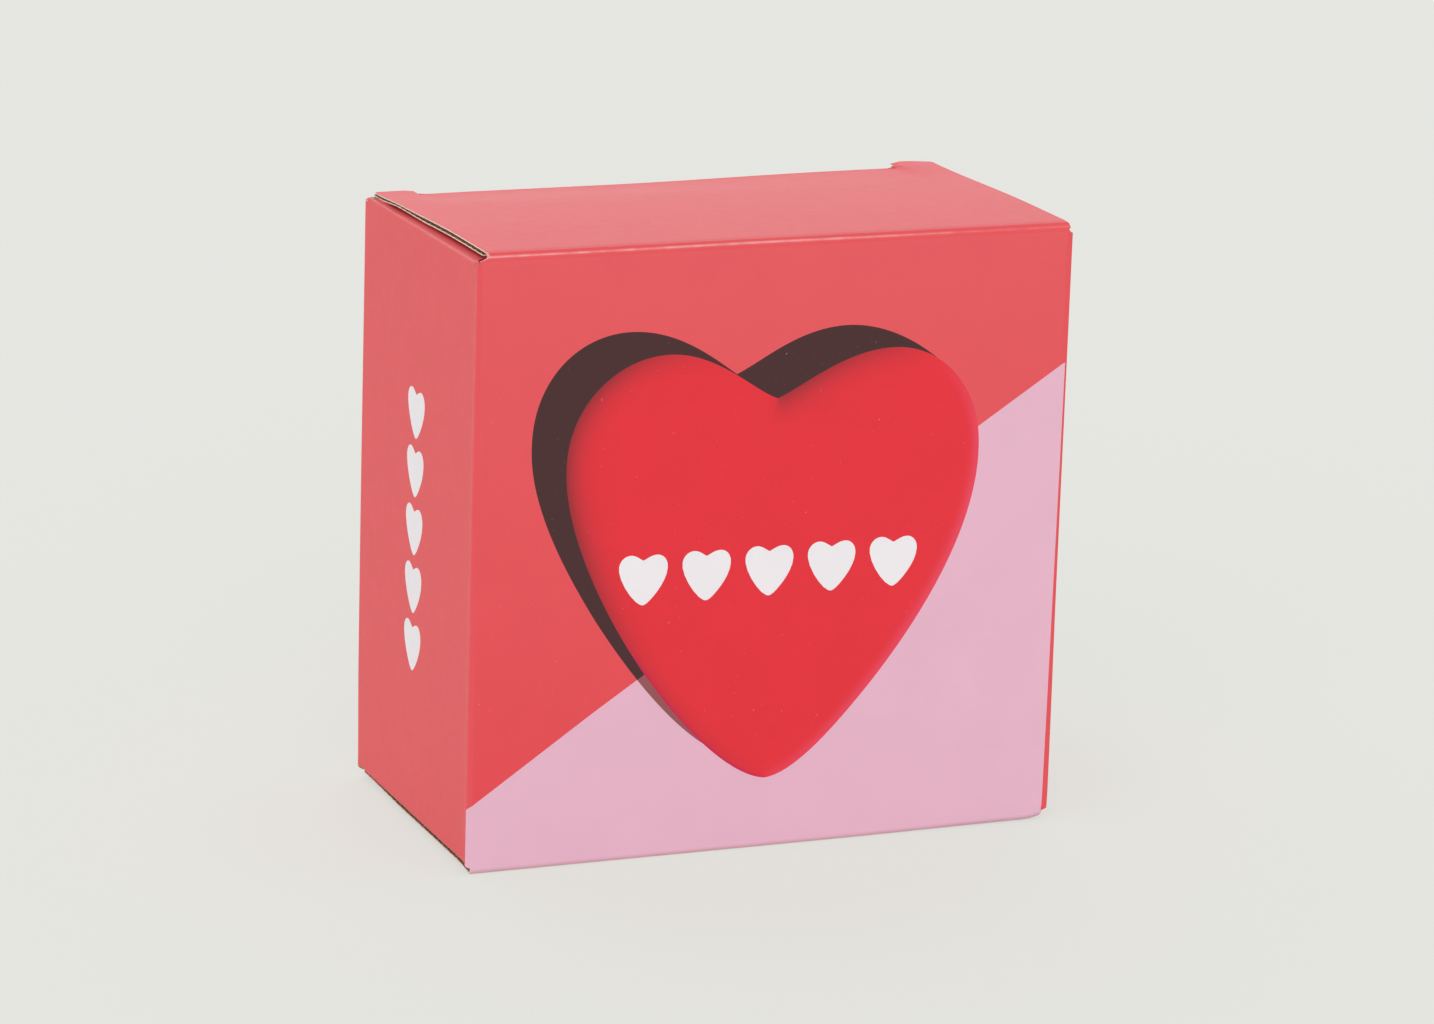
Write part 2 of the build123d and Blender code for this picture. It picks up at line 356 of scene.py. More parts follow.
def slant(u):
    """Height of the line between the red and the pink of the front."""
    return np.interp(u, (-76, -45, 35, 76), (16.2, 37.4, 90, 116.6))


def small_heart(u, z, width):
    """A plain little heart of the same form, round its middle."""
    share = width / heart_width
    return [(u + p * share, z + (q - heart_middle) * share) for p, q in heart[::10]]


# Plain white hearts: a row across the front and a column down the middle of the left wall
row_step, row_shift, row_height, row_width = 16.1, -0.5, 69.5, 12.4
column_step, column_middle, column_width = 14.4, 74.1, 12.2
side_middle = left_start + left_low.y
white_hearts = [small_heart(row_step * i + row_shift, row_height, row_width) for i in range(-2, 3)]
white_hearts += [small_heart(side_middle, column_middle + column_step * i, column_width)
                 for i in range(-2, 3)]

red_ink, pink_ink, white_ink = ink(226, 81, 87), ink(228, 180, 200), ink(236, 232, 236)
heart_ink, heart_dark, heart_rim = ink(226, 46, 58), ink(118, 42, 48), ink(232, 88, 118)
heart_line = ink(196, 22, 84)
shade_ink, shade_on_pink = ink(70, 40, 42), ink(146, 84, 86)
bare_board = ink(214, 182, 146)

# Shading of the print: how wide and how strong it is along the heart's rim, less so at the foot of the heart
shaded_side = np.array([-0.94, 0.34])
dark_width, dark_share, foot_width, foot_share = 3.4, 0.75, 0.9, 0.3
light_width, light_share = 1.8, 0.6
line_width, line_share = 0.55, 0.8
# Painted light: the front's red is made paler toward its top, where the panel catches more light from above
front_top_painted_light = 0.016


def rim_and_outward(loop):
    """Points of a closed loop, and the direction that leads out of it at each."""
    rim = np.array(loop)
    ahead = np.roll(rim, -1, axis=0) - np.roll(rim, 1, axis=0)
    outward = np.stack([-ahead[:, 1], ahead[:, 0]], axis=1) / np.linalg.norm(ahead, axis=1)[:, None]
    return rim, outward


def heart_tone(points):
    """Colour of points of the printed heart: darker along its left edges, paler along its right rim, with a
    thin crimson line along its lower left edge."""
    rim, outward = rim_and_outward(heart)
    nearest = np.linalg.norm(points[:, None, :] - rim[None], axis=2).argmin(axis=1)
    depth = np.abs(((points - rim[nearest]) * outward[nearest]).sum(axis=1))
    facing = outward[nearest] @ shaded_side
    foot = np.clip((75 - points[:, 1]) / 30, 0, 1)
    dark = np.clip(facing + 0.15, 0, 1) * np.exp(-(depth / (dark_width - foot_width * foot)) ** 1.3)
    dark *= dark_share - foot_share * foot
    light = light_share * np.clip(-facing - 0.2, 0, 1) * np.exp(-(depth / light_width) ** 2)
    low = np.clip((60 - points[:, 1]) / 12, 0, 1) * np.clip(facing * 2 + 0.9, 0, 1)
    line = line_share * low * np.exp(-(depth / line_width) ** 2)
    tone = np.array(heart_ink) * (1 - dark - light)[:, None]
    tone += dark[:, None] * np.array(heart_dark) + light[:, None] * np.array(heart_rim)
    return tone + line[:, None] * (np.array(heart_line) - tone)


def plain_red(middles, corners):
    """Ink of a sheet that is red all over."""
    return np.tile(np.array(red_ink), (*corners.shape[:2], 1))


def wall_print(middles, corners):
    """Ink of each corner of the walls' faces, with the front's red made paler toward its top as painted
    light.
    """
    inks = plain_red(middles, corners)
    u, z = middles[:, 0], middles[:, 1]
    in_pink = (u > pink_left) & (u < pink_edge(z)) & (z < slant(u))
    in_shadow, in_heart = within(middles, shadow), within(middles, heart)
    on_front = (u > front_low.x) & (u < front_high.x)
    # Painted light: green and blue raised toward the front's top and lowered toward its foot
    inks[on_front, :, 1:] += front_top_painted_light * (corners[on_front, :, 1:] / 75 - 1.1)
    inks[in_pink] = pink_ink
    inks[in_shadow] = shade_ink
    inks[in_shadow & in_pink] = shade_on_pink
    inks[in_heart] = heart_tone(corners[in_heart].reshape(-1, 2)).reshape(-1, 3, 3)
    for loop in white_hearts:
        inks[within(middles, loop)] = white_ink
    inks[u < glue_start] = bare_board
    return inks


def wall_wear_and_highlight(u, v):
    """How far the upright folds have stretched the ink, which also serves as a painted highlight on them."""
    # Painted highlight: the band at the front's left fold is set toward the left wall, where that fold
    # catches light
    folds = (front_high.x + 0.7 * quarter, left_start + 0.3 * quarter, back_start + 0.5 * quarter)
    return max(0.12 * exp(-((u - fold) / 0.6) ** 2) for fold in folds)


# Cut ends of the walls. The cut slopes from wall to wall at each fold, and the back is cut a little lower, so
# that the pressed rear of the lid hides it.
back_drop = 0.8
back_top = back_high.z - back_drop
wall_top = [
    (right_end, right_high.z), (right_start, right_high.z),
    (right_start - 0.15 * quarter, right_high.z + 0.7), (front_high.x + 0.4 * quarter, front_high.z - 0.4),
    (front_high.x, front_high.z), (front_low.x, front_high.z),
    (front_low.x - 0.52 * quarter, front_high.z + 0.4), (left_start + 0.2 * quarter, left_high.z + 1.3),
    (left_start, left_high.z), (left_end, left_high.z), (back_start, back_top), (back_end, back_top),
    (glue_start, glue_high.z), (glue_end, glue_high.z - glue_taper),
]
wall_foot = [
    (right_end, right_low.z), (right_start, right_low.z), (front_high.x, front_low.z),
    (front_low.x, front_low.z), (left_start, left_low.z), (left_end, left_low.z),
    (back_start, back_low.z), (back_end, back_low.z), (glue_start, glue_low.z),
    (glue_end, glue_low.z + glue_taper),
]
wall_outline = wall_top + wall_foot[::-1]
wall_ends = [list(zip(*reversed(ends))) for ends in (wall_foot, wall_top)]


def wall_end(u, upper):
    """Lower or upper end of the walls at a distance along the sheet."""
    return float(np.interp(u, *wall_ends[upper]))


# Mesh lines along the folds, the scores and the print's outlines, and spots between them
wall_lines = []
for fold in (front_high.x, left_start, back_start, glue_start):
    for u in np.linspace(fold, fold + quarter, 9):
        ends = [wall_end(u - 1e-6, upper) for upper in (0, 1)]
        wall_lines.append([(float(u), float(z)) for z in np.linspace(*ends, 31)])
for first, last in ((left_end, left_start), (right_start, right_end)):
    for inset in (0.3, 0.7, 1.2):
        wall_lines += [stepped([(first, z), (last, z)]) for z in (left_low.z + inset, left_high.z - inset)]
slant_line = [(float(u), float(slant(u))) for u in np.linspace(pink_left, pink_right, 61)]
wall_lines.append(stepped([(pink_left, wall_end(pink_left, 0)), *slant_line, (front_high.x, front_low.z)]))
wall_lines += [stepped(loop + loop[:1]) for loop in [heart, shadow, *white_hearts]]
wall_step = 4.7
wall_spots = [(float(u), float(z)) for u in np.arange(glue_end + 2, right_end - 1, wall_step)
              for z in np.arange(wall_end(u, 0) + 2, wall_end(u, 1) - 1, wall_step)]
heart_edge, heart_outward = rim_and_outward(heart)
for inset in (0.4, 0.9, 1.5, 2.2, 3.0, 4.0, 5.2, 6.8):
    ring = heart_edge - inset * heart_outward
    wall_spots += [tuple(p) for p in ring[within(ring, heart)].tolist()]
walls = cut_sheet("printed_walls", wall_outline, wall_lines, wall_spots,
                  lambda u, z: stand(*wall_point(u), z), wall_print, wall_wear_and_highlight)
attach(walls, "carton")
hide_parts("front_outer_liner", "left_outer_liner", "right_outer_liner", "back_outer_liner",
            "glue_flap_outer_liner", "corner_creases")

# Lids: the printed outer ply of the lid and of the bottom lid, each with its fold to the front wall and two
# ears that fill the rear corners. The fold is scored, which leaves a groove on the lid and a bead before it.
lid_low, lid_high = span("top_lid_outer_liner")
tuck_crease_low, tuck_crease_high = span("top_tuck_crease")
slit_width = 0.5
ear_start = tuck_crease_high.x + slit_width
ear_trim = 0.8
tuck_line = tuck_crease_low.y
fold_y, fold_z = lid_low.y, front_high.z
lid_depth = tuck_line - fold_y

# How far the lids depart from flat boards: the top one rises behind its fold and sinks to the rear
lid_rise, lid_slope, lid_groove, lid_left_drop = 0.42, 0.97, 0.12, 0.2
rear_press, rear_ease, inner_press = 1.1, 0.7, 0.75
right_ear_up, right_ear_corner, left_ear_down = 0.55, 0.5, 0.6
left_aside, left_aside_ease, right_aside, bottom_left_aside = 1.5, 0.5, 0.5, 0.3
bottom_curl, bottom_rear_curl = 0.5, 0.45
bead_height, bead_angle, bead_width = 0.35, 0.75, 0.25


def level(end, z):
    """Height of a point of the top closure, or of its mirror image in the bottom one."""
    return z if end == "top" else carton_height - z


def lid_lift(x, y):
    """How far the top lid stands above its flat place: it stands up behind the fold, slopes down to its rear
    fold, which is pressed down most, and its ears stand by themselves beyond the slits."""
    slope = lid_rise - lid_slope * smooth(y, -18, 42) - lid_groove * exp(-((y - fold_y) / 0.9) ** 2)
    slope -= lid_left_drop * smooth(-x, 50, 74) * smooth(y, -20, 20)
    soft = 0.4 + 0.5 * max(0.0, tuck_line - y)
    on_ear = smooth(abs(x), ear_start - soft, ear_start + soft)
    rear = (1 - on_ear) * (rear_ease * smooth(x, -15, 50) - rear_press)
    ear = on_ear * (right_ear_up - right_ear_corner * smooth(x, 67, 76) if x > 0 else -left_ear_down)
    return slope + rear * smooth(y, 14, tuck_line) + ear * smooth(y, 20, lid_high.y)


def aside(x, y):
    """How far the top lid's side edges lie to the right of where they were cut to be."""
    left = (left_aside - left_aside_ease * smooth(y, -30, 20)) * smooth(-x, 64, lid_high.x)
    return left + right_aside * smooth(x, 64, lid_high.x)


def bottom_aside(x):
    """How far the bottom lid's left edge lies to the right of where it was cut to be."""
    return bottom_left_aside * smooth(-x, 66, lid_high.x)


def in_lid(end, x, y, z):
    """A point of a lid's board, from its place in the top lid as that was cut to be. The bottom lid is its
    mirror image and lies flat, but for its side edges, which curl up a little."""
    if end == "bottom":
        curl = (bottom_curl + bottom_rear_curl * smooth(y, 10, 38)) * smooth(abs(x), 62, 74)
        curl *= smooth(y, -39, -30)
        return stand(x + bottom_aside(x), y, carton_height - z + curl)
    lift = lid_lift(x, y)
    depth = (lid_high.z - z) / (lid_high.z - fold_z)
    inner_lift = max(lift, -inner_press * smooth(y, 22, tuck_line))
    inner_lift += 0.25 * smooth(-x, 60, lid_high.x) * (1 - smooth(y, 15, 35))
    return stand(x + aside(x, y), y, z + lift + depth * (inner_lift - lift))


def lid_place(end, u, v):
    """Place of a lid's point: u across the lid, v from the top of the front wall round the fold and back."""
    if v >= quarter:
        return in_lid(end, u, fold_y + v - quarter, lid_high.z)
    angle = v / fold_radius
    radius = fold_radius
    x, foot = u, wall_point(u)
    if end == "top":
        bead = bead_height * exp(-((u + 7) / 26) ** 2) - 0.05
        bead *= exp(-((angle - bead_angle) / bead_width) ** 2)
        radius += bead + lid_lift(u, fold_y) * smooth(angle, bead_angle, pi / 2)
        x = foot.x + (u + aside(u, fold_y) - foot.x) * smooth(angle, 0, 0.7)
        radius -= (foot.y - front_low.y) * (1 - smooth(angle, 0, 1.0))
    return stand(x, fold_y - radius * cos(angle), level(end, fold_z + radius * sin(angle)))


def hook_edge(v):
    """Where the left cut end of a lid's fold lies. It runs on a little past the fold's foot, like a hook."""
    return lid_low.x + float(np.interp(v, (0, 0.2 * quarter, 0.6 * quarter), (-1.2, -0.5, 0)))


def fold_wear_and_highlight(u, v):
    """How far the scored fold's bead is stretched and carries a painted highlight; its left cut end is frayed
    white.
    """
    # Painted highlight: the bead's pale band, fading to the right, stands in for light caught by the fold's
    # top
    bead = 0.85 * (1 - 0.7 * smooth(u, 0, 65)) * exp(-((v / fold_radius - 0.74) / 0.16) ** 2)
    frayed = smooth(-u, -hook_edge(v) - 0.7, -hook_edge(v) - 0.35) * (1 - smooth(v, quarter, quarter + 0.8))
    return max(bead, 0.9 * frayed)


ear_tip = quarter + lid_high.y - fold_y
lid_rear = quarter + lid_depth
lid_outline = [
    (lid_low.x, 0.0), (lid_high.x, 0.0), (lid_high.x, ear_tip - ear_trim), (lid_high.x - ear_trim, ear_tip),
    (ear_start, ear_tip), (ear_start, lid_rear), (-ear_start, lid_rear), (-ear_start, ear_tip),
    (lid_low.x + ear_trim, ear_tip), (lid_low.x, ear_tip - ear_trim),
]
lid_hook = [(hook_edge(share * quarter), share * quarter) for share in (0.6, 0.4, 0.2, 0.1, 0)]
lid_lines = [[(float(u), float(v)) for u in np.linspace(lid_low.x, lid_high.x, 61)]
             for v in np.linspace(0, quarter, 25)[1:]]
for run in (0.35, 0.7):
    lid_lines.append([(hook_edge(share * quarter) + run, share * quarter)
                      for share in np.linspace(0, 1.2, 13).tolist()])
for run in (0.4, 0.8, 1.2, 1.7, 2.6):
    lid_lines.append(stepped([(lid_low.x, quarter + run), (lid_high.x, quarter + run)]))
lid_spots = [(float(u), float(v)) for u in np.arange(lid_low.x + 2, lid_high.x, 4.3)
             for v in np.arange(quarter + 5, ear_tip - 0.5, 3.9)]
lid_spots += [(float(side * u), float(lid_rear - v)) for side in (-1, 1) for v in (0.4, 1.2, 2.4, 4.2, 6.6)
              for u in ear_start + (0.5 + 0.5 * v) * np.linspace(-1.2, 1.2, 9)]
for end in ("top", "bottom"):
    fold_ink = red_ink if end == "top" else pink_ink

    def lid_print(middles, corners):
        """Ink of a lid: red, with the front's colour carried round the fold."""
        inks = plain_red(middles, corners)
        inks[middles[:, 1] < quarter] = fold_ink
        return inks

    lid = cut_sheet(f"printed_{end}_lid", lid_outline + (lid_hook if end == "top" else []), lid_lines,
                    lid_spots, lambda u, v: lid_place(end, u, v), lid_print, fold_wear_and_highlight,
                    turned=end == "bottom")
    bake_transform(lid)
    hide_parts(f"{end}_lid_outer_liner", f"{end}_lid_crease")

# Tuck flaps: the printed outer ply of the flap behind each lid. It bends down from the lid's rear fold, runs
# past the slits beside it, and leans in so that it slips behind the back wall.
tuck_corner = span("top_tuck_flap_inner_liner")[1].z
tuck_low, tuck_high = span("top_tuck_flap_outer_liner")
tuck_crease_drop = 1.3
tuck_lean = radians(12)
tuck_length = (tuck_corner - tuck_low.z) / cos(tuck_lean)
tuck_turn = pi / 2 + tuck_lean
tuck_bend = fold_radius * tuck_turn
tuck_round = 9.0
tuck_ease = 12


def tuck_place(end, u, v):
    """Place of a tuck flap's point: u across it, v from the lid's rear edge round the fold and down."""
    angle = min(v, tuck_bend) / fold_radius
    along = max(0.0, v - tuck_bend)
    y = tuck_line + fold_radius * sin(angle) - along * sin(tuck_lean)
    z = fold_z + fold_radius * cos(angle) - along * cos(tuck_lean)
    if end == "top":
        z += lid_lift(u, tuck_line) * (1 - smooth(along, 0, tuck_ease))
    return stand(u, y, level(end, z))


tuck_tip = tuck_bend + tuck_length
shoulder = tuck_bend + tuck_crease_drop
tuck_half = [(tuck_crease_high.x, 0.0), (tuck_crease_high.x, shoulder), (tuck_high.x, shoulder)]
tuck_half += [(tuck_high.x - tuck_round * (1 - cos(turn)), tuck_tip - tuck_round * (1 - sin(turn)))
              for turn in np.linspace(0, pi / 2, 9)]
tuck_outline = tuck_half + [(-u, v) for u, v in reversed(tuck_half)]
tuck_lines = [[(float(u), float(v)) for u in np.linspace(-tuck_crease_high.x, tuck_crease_high.x, 41)]
              for v in np.linspace(0, tuck_bend, 11)[1:]]
flap_step = 4.4
tuck_spots = [(float(u), float(v)) for u in np.arange(tuck_low.x + 1.5, tuck_high.x, flap_step)
              for v in np.arange(shoulder + 2, tuck_tip, flap_step)]


def tuck_wear(u, v):
    """How far the rear fold has stretched the ink."""
    return 0.3 * exp(-(v - tuck_bend / 2) ** 2)


for end in ("top", "bottom"):
    tuck = cut_sheet(f"printed_{end}_tuck_flap", tuck_outline, tuck_lines, tuck_spots,
                     lambda u, v: tuck_place(end, u, v), plain_red, tuck_wear, turned=end == "bottom")
    tuple(tuck_place(end, 0, tuck_bend) * mm)
    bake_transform(tuck)
    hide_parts(f"{end}_tuck_flap_outer_liner", f"{end}_tuck_crease")

# Dust flaps: the printed outer ply of the two flaps that fold in from the side walls under each lid. Their
# folds show beside the lid's cut edge, and are a little wrinkled where the score was pressed.
dust_low, dust_high = span("top_right_dust_flap_outer_liner")
dust_crease_low, dust_crease_high = span("top_right_dust_crease")
dust_bend_x, dust_bend_z = front_high.x, right_high.z
dust_length = dust_bend_x - dust_low.x
dust_front_slope, dust_rear_slope = radians(36), radians(10)
dust_chamfer = 6.6
dust_overrun = 1.6
dust_front, dust_rear = dust_crease_low.y - dust_overrun, left_high.y
dust_rise, dust_press, dust_rear_press, dust_corner_press = 0.1, 0.3, 0.35, 0.2
dust_sharp = {"top": 0.8, "bottom": -0.7}
ripple_height = 0.08


def dust_sag(u, v):
    """How far a top dust flap lies above where it was cut to be. Its rear is pressed down below the lid."""
    pressed = dust_press * smooth(u, -40, 30)
    pressed += dust_rear_press * smooth(u, 5, 30) * smooth(v, 0.5 * quarter, quarter + 0.4)
    return (dust_rise - pressed) * (1 - smooth(v, quarter + 2, quarter + 16))


def dust_place(end, side, u, v):
    """Place of a dust flap's point: u along its fold to the rear, v from the side wall round it and in."""
    angle = min(v, quarter) / fold_radius
    ripple = ripple_height * sin(u * 0.9) * sin(u * 0.37 + 1) * exp(-((v - 0.6 * quarter) / 0.9) ** 2)
    sharp = dust_sharp[end] * sin(angle) * cos(angle)
    out = min(fold_radius, fold_radius * cos(angle) + sharp)
    up = min(fold_radius, fold_radius * sin(angle) + sharp)
    x = dust_bend_x + out + ripple * cos(angle) - max(0.0, v - quarter)
    z = dust_bend_z + up + ripple * sin(angle)
    if end == "top":
        z += (dust_sag(u, v) - dust_corner_press * smooth(u, 36.5, dust_rear)) * smooth(angle, 0, 1.2)
    return stand(side * x, u, level(end, z))


dust_reach = quarter + dust_length
dust_cut = dust_crease_high.y - dust_chamfer
dust_tip = (dust_crease_low.y + dust_length * tan(dust_front_slope),
            dust_cut - (dust_length - dust_chamfer) * tan(dust_rear_slope))
dust_outline = [
    (dust_front, 0.0), (dust_rear, 0.0), (dust_rear - 0.3, 0.6 * quarter), (dust_crease_high.y, quarter),
    (dust_cut, quarter + dust_chamfer), (dust_tip[1], dust_reach), (dust_tip[0], dust_reach),
    (dust_crease_low.y, quarter), (dust_front, 0.7 * quarter),
]
dust_lines = [[(float(u), float(v)) for u in np.linspace(dust_front, dust_rear, 61)]
              for v in np.linspace(0, quarter, 11)[1:]]
dust_spots = [(float(u), float(v)) for u in np.arange(dust_crease_low.y + 2, dust_crease_high.y, flap_step)
              for v in np.arange(quarter + 3, dust_reach, flap_step)]


def dust_wear(u, v):
    """How far the fold has stretched the ink."""
    return 0.2 * exp(-((v - quarter / 2) / 0.4) ** 2)


for end in ("top", "bottom"):
    for name, side in (("left", -1), ("right", 1)):
        flap = cut_sheet(f"printed_{end}_{name}_dust_flap", dust_outline, dust_lines, dust_spots,
                         lambda u, v: dust_place(end, side, u, v), plain_red, dust_wear,
                         turned=(end == "bottom") != (name == "left"),
                         finishes=(printed_coat, liner_back, printed_coat))
        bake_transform(flap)
        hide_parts(f"{end}_{name}_dust_flap_outer_liner", f"{end}_{name}_dust_crease")

# Fluting of the flaps: the wavy brown paper between the liners, darkened with painted shade for the hollows
# between its ridges, whose ends show along the cut edges. One rule makes every ply: a sheet between two
# straight ends, waved across its ridges and as thick as the paper.
# Painted shade: the fluting's brown is darker than the paper's own, for the shade in the hollows between its
# ridges
fluting_paper, tree, shader, place = new_finish("fluting_paper")
streaks = speckle(tree, place, 500, detail=6.0)
tree.links.new(tint(tree, streaks, ink(104, 78, 52), ink(140, 108, 74)), shader.inputs["Base Color"])
tree.links.new(speckle(tree, place, 900, 0.8, 0.95), shader.inputs["Roughness"])
flute_height, flute_sheet = 1.0, 0.2
steps_per_wave = 12.0

flutes = bpy.data.node_groups.new("fluted_ply", "GeometryNodeTree")
flutes.interface.new_socket(name="Ply", in_out="OUTPUT", socket_type="NodeSocketGeometry")
flute_inputs = {}
for label, kind in (("Near low", "Float"), ("Near high", "Float"), ("Far low", "Float"),
                    ("Far high", "Float"), ("Span", "Float"), ("Height", "Float"), ("Paper", "Float"),
                    ("Waves", "Int"), ("Steps", "Int"), ("Finish", "Material")):
    socket = flutes.interface.new_socket(name=label, in_out="INPUT", socket_type=f"NodeSocket{kind}")
    flute_inputs[label] = socket.identifier
given = wire(flutes, "NodeGroupInput").outputs
rows = reckon(flutes, "MULTIPLY_ADD", given["Waves"], steps_per_wave, 1.0)
sheet = wire(flutes, "GeometryNodeMeshGrid", {
    "Size X": 1.0, "Size Y": 1.0, "Vertices X": given["Steps"], "Vertices Y": rows})
position = wire(flutes, "GeometryNodeInputPosition").outputs[0]
spot = wire(flutes, "ShaderNodeSeparateXYZ", {0: position}).outputs
share_x = reckon(flutes, "ADD", spot["X"], 0.5)
share_y = reckon(flutes, "ADD", spot["Y"], 0.5)


def between(low, high, share):
    """Value at a share of the way from low to high."""
    return reckon(flutes, "MULTIPLY_ADD", reckon(flutes, "SUBTRACT", high, low), share, low)


low_end = between(given["Near low"], given["Far low"], share_y)
high_end = between(given["Near high"], given["Far high"], share_y)
wave_share = reckon(flutes, "MULTIPLY", share_y, given["Waves"])
swing = reckon(flutes, "COSINE", reckon(flutes, "MULTIPLY", wave_share, 2 * pi))
depth = reckon(flutes, "MULTIPLY", reckon(flutes, "SUBTRACT", given["Height"], given["Paper"]), -0.5)
middle = reckon(flutes, "MULTIPLY", given["Paper"], -0.5)
waved = wire(flutes, "ShaderNodeCombineXYZ", {
    "X": between(low_end, high_end, share_x), "Y": reckon(flutes, "MULTIPLY", share_y, given["Span"]),
    "Z": reckon(flutes, "MULTIPLY_ADD", swing, depth, middle)})
wavy = wire(flutes, "GeometryNodeSetPosition", {
    "Geometry": sheet.outputs["Mesh"], "Position": waved.outputs[0]})
thick = wire(flutes, "GeometryNodeExtrudeMesh", {
    "Mesh": wavy.outputs[0], "Offset Scale": given["Paper"], "Individual": False})
under = wire(flutes, "GeometryNodeFlipFaces", {"Mesh": wavy.outputs[0]})
both = wire(flutes, "GeometryNodeJoinGeometry")
flutes.links.new(thick.outputs["Mesh"], both.inputs[0])
flutes.links.new(under.outputs[0], both.inputs[0])
closed = wire(flutes, "GeometryNodeMergeByDistance", {"Geometry": both.outputs[0], "Distance": 1e-6})
single = wire(flutes, "GeometryNodeRealizeInstances", {"Geometry": closed.outputs[0]})
dyed = wire(flutes, "GeometryNodeSetMaterial", {"Geometry": single.outputs[0], "Material": given["Finish"]})
wire(flutes, "NodeGroupOutput", {"Ply": dyed.outputs[0]})


def fluted_strip(near, far, length, waves):
    """Mesh of one strip of fluting, with its two ends given as ranges along the ridges, in millimetres."""
    strip = bpy.data.objects.new("strip", bpy.data.meshes.new("strip"))
    bpy.context.scene.collection.objects.link(strip)
    ply = strip.modifiers.new("ply", "NODES")
    ply.node_group = flutes
    values = {
        "Near low": near[0] * mm, "Near high": near[1] * mm, "Far low": far[0] * mm, "Far high": far[1] * mm,
        "Span": length * mm, "Height": flute_height * mm, "Paper": flute_sheet * mm, "Waves": waves,
        "Steps": max(2, round((near[1] - near[0]) / 4)), "Finish": fluting_paper,
    }
    for label, value in values.items():
        ply[flute_inputs[label]] = value
    mesh = bpy.data.meshes.new_from_object(strip.evaluated_get(bpy.context.evaluated_depsgraph_get()))
    bpy.data.objects.remove(strip)
    return mesh


def fluted_ply(name, body, strips, corner, ridge, across, node, settle=None):
    """A ply of fluting on a body: strips set one after the other from a corner, along across, with their
    ridges along ridge. settle, where there is one, moves each of its points."""
    joined = bmesh.new()
    for start, near, far, length in strips:
        mesh = fluted_strip(near, far, length, max(1, round(length / flute_pitch)))
        facing = Vector(ridge).cross(Vector(across))
        turn = Matrix((ridge, across, facing)).transposed().to_4x4()
        origin = Vector(corner) + Vector(across) * start - facing * (liner + flute_height / 2)
        mesh.transform(Matrix.Translation(origin * mm) @ turn)
        joined.from_mesh(mesh)
    if settle:
        for point in joined.verts:
            point.co = settle(*(point.co / mm)) * mm
    ply = bpy.data.meshes.new(name)
    joined.to_mesh(ply)
    joined.free()
    ply.materials.append(fluting_paper)
    ply.shade_smooth()
    ply.set_sharp_from_angle(angle=crisp_angle)
    piece = bpy.data.objects.new(name, ply)
    bpy.context.scene.collection.objects.link(piece)
    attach(piece, body)
    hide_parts(node)


# Each strip: where it starts, the range of its near and of its far end, and its length
fold_clear = 2.5
lid_range, ear_range = (lid_low.x, lid_high.x), (ear_start, lid_high.x)
left_ear_range = (-lid_high.x, -ear_start)
ear_length = lid_high.y - tuck_line
lid_strips = [(fold_clear, lid_range, lid_range, lid_depth - fold_clear),
              (lid_depth, ear_range, ear_range, ear_length),
              (lid_depth, left_ear_range, left_ear_range, ear_length)]
tip_strip = 0.8 * tuck_round
tuck_range = (-tuck_high.x, tuck_high.x)
tuck_tip_range = (-tuck_high.x + tip_strip, tuck_high.x - tip_strip)
tuck_strips = [(tuck_crease_drop, tuck_range, tuck_range, tuck_length - tip_strip - tuck_crease_drop),
               (tuck_length - tip_strip, tuck_range, tuck_tip_range, tip_strip)]
dust_near = (dust_crease_low.y, dust_crease_high.y)
dust_mid = (dust_crease_low.y + dust_chamfer * tan(dust_front_slope), dust_cut)


def in_dust_flap(x, y, z):
    """A point of a top dust flap's fluting, which is pressed flatter with the flap's outer face."""
    sag = dust_sag(y, quarter + dust_bend_x - abs(x))
    return Vector((x, y, z + sag * (z - dust_bend_z) / fold_radius))


for end, sign in (("top", 1), ("bottom", -1)):
    fluted_ply(f"fluted_{end}_lid", f"{end}_lid", lid_strips, (0, fold_y, level(end, lid_high.z)),
               (sign, 0, 0), (0, 1, 0), f"{end}_lid_fluting",
               lambda x, y, z: in_lid(end, x, y, level(end, z)))
    tuck_face = (0, tuck_line + fold_radius * sin(tuck_turn),
                 level(end, fold_z + fold_radius * cos(tuck_turn)))
    fluted_ply(f"fluted_{end}_tuck_flap", f"{end}_tuck_flap", tuck_strips, tuck_face,
               (sign, 0, 0), (0, -sin(tuck_lean), -sign * cos(tuck_lean)), f"{end}_tuck_flap_fluting")
    for name, side in (("left", -1), ("right", 1)):
        near, mid, far = dust_near, dust_mid, dust_tip
        if side * sign < 0:
            near, mid, far = [(-high, -low) for low, high in (near, mid, far)]
        dust_strips = [(0, near, mid, dust_chamfer), (dust_chamfer, mid, far, dust_length - dust_chamfer)]
        fluted_ply(f"fluted_{end}_{name}_dust_flap", f"{end}_{name}_dust_flap", dust_strips,
                   (side * dust_bend_x, 0, level(end, dust_high.z)), (0, side * sign, 0), (-side, 0, 0),
                   f"{end}_{name}_dust_flap_fluting", in_dust_flap if end == "top" else None)


# Fluting of the walls: it stays hidden between the liners, so the frame's own waves serve, in the same
# darkened brown. The back wall's is cut as low as its liners, so that the pressed rear of the lid hides it.
def dress(node, finish):
    """Gives a CAD node that is shown as it is one finish all over."""
    node.data.materials.clear()
    node.data.materials.append(finish)


for wall in ("front", "left", "right", "glue_flap"):
    dress(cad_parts[f"{wall}_fluting"], fluting_paper)
back_range = tuple(corner.x for corner in span("back_fluting"))
fluted_ply("fluted_back", "carton", [(0, back_range, back_range, back_top - back_low.z)],
           (0, back_high.y, back_low.z), (-1, 0, 0), (0, 0, 1), "back_fluting")

